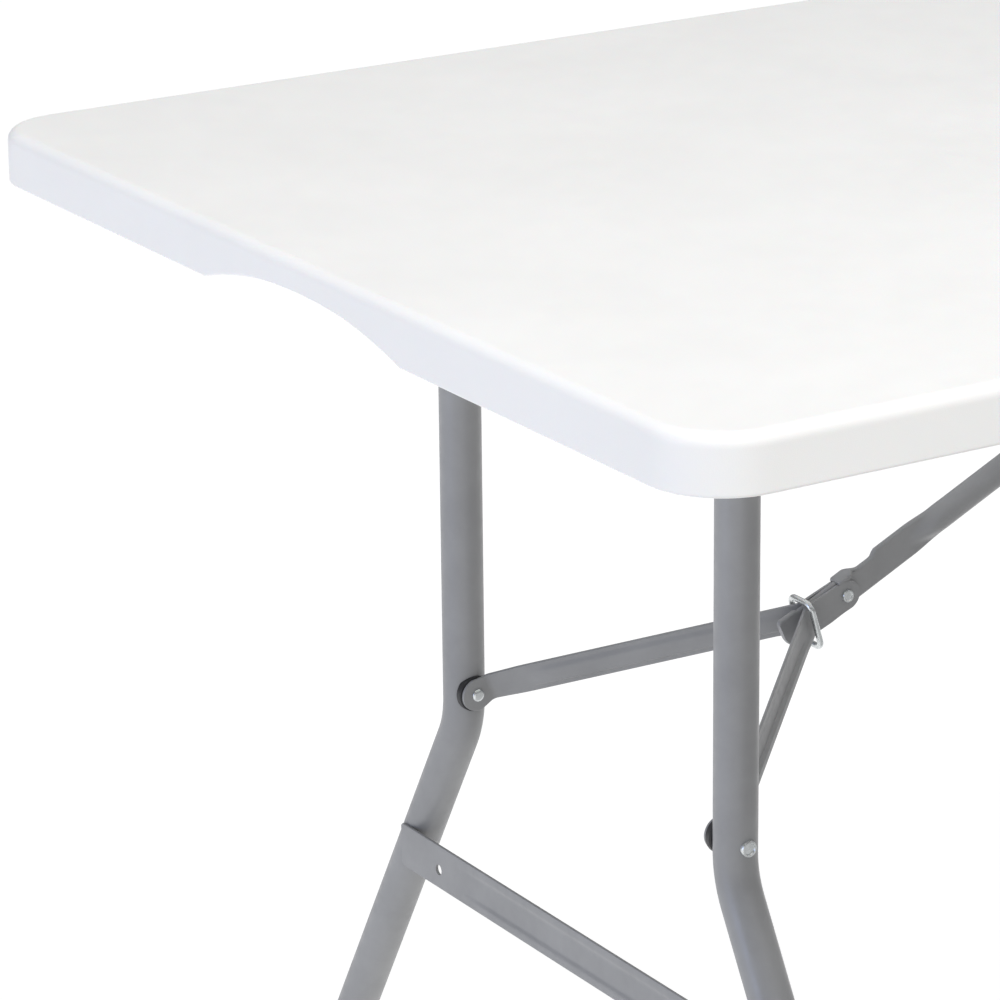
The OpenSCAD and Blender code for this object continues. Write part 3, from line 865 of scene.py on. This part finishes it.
def build_upper_link(bm):
    xs = [-TAIL_L + d * MM for d in (0.02, 0.2, 0.6, 1.2, 2, 3, 4.2, 5.6, 7, 8.5)]
    xs += [(-36 + 2 * k) * MM for k in range(1, 70)]
    xs += [104 * MM + (LINK_L - 194 * MM) * k / 8 for k in range(9)]
    xs += [LINK_L - 90 * MM + k * 3 * MM for k in range(1, 31)]
    xs += [LINK_L + r * MM for r in (2.5, 5, 7.5, 9, 9.7, 9.99)]
    loft(bm, [[LINK_FRAME @ Vector((x, y, z)) for y, z in link_section(x)] for x in xs])
    build_hook(bm)


def build_lock_ring(bm):
    wire = 1.9 * MM
    lean = radians(16.5)
    ring_s = 28.9 * MM
    half_y = 17 * MM / 2 + wire
    top = 10.8 * MM + wire
    bottom = -14.9 * MM - wire
    r = 5 * MM
    corners = [(half_y, top, 0), (-half_y, top, 90), (-half_y, bottom, 180), (half_y, bottom, 270)]
    loop = []
    for y, z, start in corners:
        cy = y - r * (1 if y > 0 else -1)
        cz = z - r * (1 if z > 0 else -1)
        loop += arc(cy, cz, r, start, start + 90, 10)
    place = ARM_FRAME @ Matrix.Translation((-ring_s, 0, 0)) @ Matrix.Rotation(
        atan2(ARM.z, ARM.x) - lean, 4, "Y")
    path = [place @ Vector((0, y, z)) for y, z in loop]
    # closer points along the straight sides keep the wire's section even
    dense = []
    for a, b in zip(path, path[1:] + path[:1]):
        n = max(1, round((b - a).length / (2.5 * MM)))
        dense += [a.lerp(b, k / n) for k in range(n)]
    sweep(bm, dense, wire, n=20, closed=True)


# ---------------------------------------------------------------- fixings under the deck

def build_rail(side):
    low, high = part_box("side_rail_back")
    t = 2 * MM
    r = 2.6 * MM
    web_y, out_y = low.y, high.y
    outer = [(web_y, low.z + 0.4 * MM), (web_y, high.z - r)]
    outer += [(y, z) for y, z in arc(web_y + r, high.z - r, r, 180, 90, 6)][1:]
    outer += [(out_y - 0.4 * MM, high.z), (out_y, high.z - 0.4 * MM), (out_y, high.z - t + 0.4 * MM),
              (out_y - 0.4 * MM, high.z - t)]
    outer += arc(web_y + r, high.z - r, r - t, 90, 180, 4)
    outer += [(web_y + t, low.z + 0.4 * MM), (web_y + t - 0.4 * MM, low.z), (web_y + 0.4 * MM, low.z)]
    sign = 1 if side == "back" else -1
    stations = (low.x, low.x + 0.3, 0.0, high.x - 0.3, high.x)
    bm = bmesh.new()
    loft(bm, [[Vector((x, sign * y, z)) for y, z in outer] for x in stations])
    return bm


def screw_head(bm, x, y):
    """A pan head under the rail or bracket, with a cross recess."""
    place = Matrix.Translation((x, y, DECK_Z - 2 * MM)) @ Matrix.Rotation(pi, 4, "X")
    profile = [(0, 0), (4 * MM, 0), (4 * MM, 0.9 * MM), (3.5 * MM, 1.9 * MM),
               (2.3 * MM, 2.35 * MM), (0, 2.38 * MM)]
    revolve(bm, profile, place, n=24)


def cross_recess(bm, x, y):
    for turn in (0, pi / 2):
        cutter = bmesh.new()
        bmesh.ops.create_cube(cutter, size=1)
        bmesh.ops.scale(cutter, vec=(3.6 * MM, 0.8 * MM, 1.6 * MM), verts=cutter.verts)
        bmesh.ops.rotate(cutter, matrix=Matrix.Rotation(turn + 0.4, 3, "Z"), verts=cutter.verts)
        bmesh.ops.translate(cutter, vec=(x, y, DECK_Z - 4.6 * MM), verts=cutter.verts)
        cut(bm, cutter)


def screws(places):
    """One finished screw, copied to each place."""
    master = bmesh.new()
    screw_head(master, 0, 0)
    cross_recess(master, 0, 0)
    mesh = bpy.data.meshes.new("screw_tmp")
    master.to_mesh(mesh)
    master.free()
    bm = bmesh.new()
    for i, (x, y) in enumerate(places):
        before = len(bm.verts)
        bm.from_mesh(mesh)
        bm.verts.ensure_lookup_table()
        new = bm.verts[before:]
        bmesh.ops.rotate(bm, matrix=Matrix.Rotation(i * 1.3, 3, "Z"), verts=new)
        bmesh.ops.translate(bm, vec=(x, y, 0), verts=new)
    bpy.data.meshes.remove(mesh)
    return bm


def rounded_box_outline(half_x, half_y, r):
    out = []
    for sx, sy, start in ((1, 1, 0), (-1, 1, 90), (-1, -1, 180), (1, -1, 270)):
        out += arc(sx * (half_x - r), sy * (half_y - r), r, start, start + 90, 5)
    return out


def build_bracket(bm):
    x = LINK_PIN.x
    half = 22 * MM
    place = Matrix.Translation((x, 0, DECK_Z - 1 * MM))
    slab(bm, rounded_box_outline(half, half, 4 * MM), 2 * MM, place)
    r = 10 * MM
    drop = DECK_Z - 1.6 * MM - LINK_PIN.z
    outline = [(r, drop), (-r, drop)] + arc(0, 0, r, 180, 360, 16)
    for sign in (1, -1):
        y = sign * 3.4 * MM
        upright = Matrix.Translation((x, y, LINK_PIN.z)) @ Matrix.Rotation(pi / 2, 4, "X")
        slab(bm, outline, 2 * MM, upright)


def build_bracket_pin(bm):
    def one(target):
        place = Matrix.Translation((LINK_PIN.x, 4.4 * MM, LINK_PIN.z)) @ ALONG_Y
        revolve(target, dome(HEAD_R, 1.95 * MM), place, n=32)
    mirrored_y(bm, one)
    revolve(bm, [(0, -4.4 * MM), (RIVET_R, -4.4 * MM), (RIVET_R, 4.4 * MM), (0, 4.4 * MM)],
            Matrix.Translation(LINK_PIN) @ ALONG_Y, n=32)


def build_bushes(bm):
    flange_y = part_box("pivot_bushes_left")[1].y

    def one(target):
        bore = 6.56 * MM
        profile = [(bore, -3.5 * MM), (9.1 * MM, -3.5 * MM), (9.4 * MM, -3.2 * MM), (9.4 * MM, -2.3 * MM),
                   (9.1 * MM, -2.0 * MM), (8.5 * MM, -2.0 * MM), (8.5 * MM, -0.3 * MM),
                   (8.2 * MM, 0), (bore, 0)]
        loops = [[Matrix.Translation((PIVOT.x, flange_y, PIVOT.z)) @ ALONG_Y @ Vector((a, b, h))
                  for a, b in circle(r, 40)] for r, h in profile]
        loft(target, loops, closed=True)
    mirrored_y(bm, one)


# ---------------------------------------------------------------- all the pieces

for end_piece in (
        ("pivot_tube", "leg_frame", "painted_steel", STEEL, build_pivot_tube),
        ("leg_tube_front", "leg_frame", "painted_steel", STEEL, build_leg_tube("front")),
        ("leg_tube_back", "leg_frame", "painted_steel", STEEL, build_leg_tube("back")),
        ("crossbar", "leg_frame", "painted_steel", STEEL, build_crossbar_with_welds),
        ("foot_cap_front", "leg_frame", "black_plastic", BLACK, build_foot_cap("front")),
        ("foot_cap_back", "leg_frame", "black_plastic", BLACK, build_foot_cap("back")),
        ("leg_rivets", "leg_frame", "zinc", ZINC, build_leg_rivets),
        ("brace_spacers", "leg_frame", "black_plastic", BLACK, build_spacers),
        ("brace_arm_front", "lower_brace", "painted_steel", STEEL, build_arm("front")),
        ("brace_arm_back", "lower_brace", "painted_steel", STEEL, build_arm("back")),
        ("lug_rivet_heads", "lower_brace", "zinc", ZINC, build_lug_heads),
        ("knuckle_rivet", "lower_brace", "zinc", ZINC, build_knuckle_rivet),
        ("upper_link", "upper_brace", "painted_steel", STEEL, build_upper_link),
        ("lock_ring", "ring", "zinc", ZINC, build_lock_ring),
        ("brace_bracket", "top", "painted_steel", STEEL, build_bracket),
        ("bracket_pin", "top", "zinc", ZINC, build_bracket_pin),
        ("pivot_bushes", "top", "black_plastic", BLACK, build_bushes)):
    at_both_ends(*end_piece)

for side in ("front", "back"):
    finish_piece(f"side_rail_{side}_look", build_rail(side), [f"side_rail_{side}"],
                 "top", STEEL)

rail_low, rail_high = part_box("side_rail_back")
RAIL_SCREWS = 7
screw_y = rail_low.y + 8 * MM
span_x = (rail_high.x - rail_low.x - 100 * MM) / (RAIL_SCREWS - 1)
places = [((i - (RAIL_SCREWS - 1) / 2) * span_x, s * screw_y) for i in range(RAIL_SCREWS) for s in (1, -1)]
finish_piece("rail_screws_look", screws(places), ["rail_screws"], "top", ZINC)
for end, sign in (("left", 1), ("right", -1)):
    places = [(sign * LINK_PIN.x + x, y) for x in (-15 * MM, 15 * MM) for y in (-15 * MM, 15 * MM)]
    finish_piece(f"bracket_screws_{end}_look", screws(places), [f"bracket_screws_{end}"],
                 "top", ZINC)


# ---------------------------------------------------------------- floor, light and camera

def floor():
    """A pale floor that glows as painted light: its glow is weaker in front of the table, so that it lights
    the legs less, and stronger behind the table and towards its left end, so that the floor stays white
    where the table's shadow would fall.
    """
    mesh = bpy.data.meshes.new("floor")
    size = 14
    corners = [(-size, -size, 0), (size, -size, 0), (size, size, 0), (-size, size, 0)]
    mesh.from_pydata(corners, [], [(0, 1, 2, 3)])
    obj = bpy.data.objects.new("floor", mesh)
    bpy.context.collection.objects.link(obj)
    mat, tree, shader = new_material("floor", (0.15, 0.15, 0.15), 0.9)
    shader.inputs["Specular IOR Level"].default_value = 0.0
    shader.inputs["Emission Color"].default_value = (1, 1, 1, 1)
    where = tree.nodes.new("ShaderNodeTexCoord").outputs["Object"]
    split = tree.nodes.new("ShaderNodeSeparateXYZ")
    tree.links.new(where, split.inputs["Vector"])

    def fade(axis, start, end):
        node = tree.nodes.new("ShaderNodeMapRange")
        node.interpolation_type = "SMOOTHSTEP"
        for socket, value in (("From Min", start), ("From Max", end), ("To Min", 0.42), ("To Max", 0.95)):
            node.inputs[socket].default_value = value
        tree.links.new(split.outputs[axis], node.inputs["Value"])
        return node.outputs["Result"]

    # painted light: the floor's glow is set by place, bright behind and towards the left of the table, dim
    # in front of it
    glow = tree.nodes.new("ShaderNodeMath")
    glow.operation = "MAXIMUM"
    tree.links.new(fade("Y", -0.38, 0.18), glow.inputs[0])
    tree.links.new(fade("X", -0.55, -1.0), glow.inputs[1])
    tree.links.new(glow.outputs["Value"], shader.inputs["Emission Strength"])
    mesh.materials.append(mat)


def area_light(name, where, target, size, power, colour=(1, 1, 1)):
    light = bpy.data.lights.new(name, "AREA")
    light.shape = "RECTANGLE"
    light.size, light.size_y = size
    light.energy = power
    light.color = colour
    obj = bpy.data.objects.new(name, light)
    obj.location = where
    obj.rotation_euler = (Vector(target) - Vector(where)).to_track_quat("-Z", "Y").to_euler()
    bpy.context.collection.objects.link(obj)


def world():
    w = bpy.data.worlds.new("studio")
    bpy.context.scene.world = w
    w.use_nodes = True
    back = w.node_tree.nodes["Background"]
    back.inputs["Color"].default_value = (1, 1, 1, 1)
    back.inputs["Strength"].default_value = 0.34


CAMERA_AT = Vector((-2.08497, -2.09888, 1.40968))
CAMERA_AZ, CAMERA_EL, CAMERA_ROLL = radians(-31.6864), radians(18.5089), radians(-0.6409)
FOCAL = 168.28


def camera():
    cam = bpy.data.cameras.new("camera")
    cam.lens = FOCAL
    cam.sensor_width = 36
    cam.clip_end = 60
    obj = bpy.data.objects.new("camera", cam)
    look = Vector((-sin(CAMERA_AZ) * cos(CAMERA_EL), cos(CAMERA_AZ) * cos(CAMERA_EL), -sin(CAMERA_EL)))
    turn = look.to_track_quat("-Z", "Y").to_matrix().to_4x4() @ Matrix.Rotation(CAMERA_ROLL, 4, "Z")
    obj.matrix_world = Matrix.Translation(CAMERA_AT) @ turn
    bpy.context.collection.objects.link(obj)
    bpy.context.scene.camera = obj


floor()
world()
area_light("overhead", (-0.8, -1.7, 4.0), (-0.6, 0.0, 0.6), (3.4, 2.4), 131)
area_light("key", (-3.8, 0.1, 0.8), (-0.7, -0.1, 0.4), (1.5, 1.4), 17, (0.50, 0.62, 1.0))
camera()
bpy.context.scene.view_settings.view_transform = "Standard"
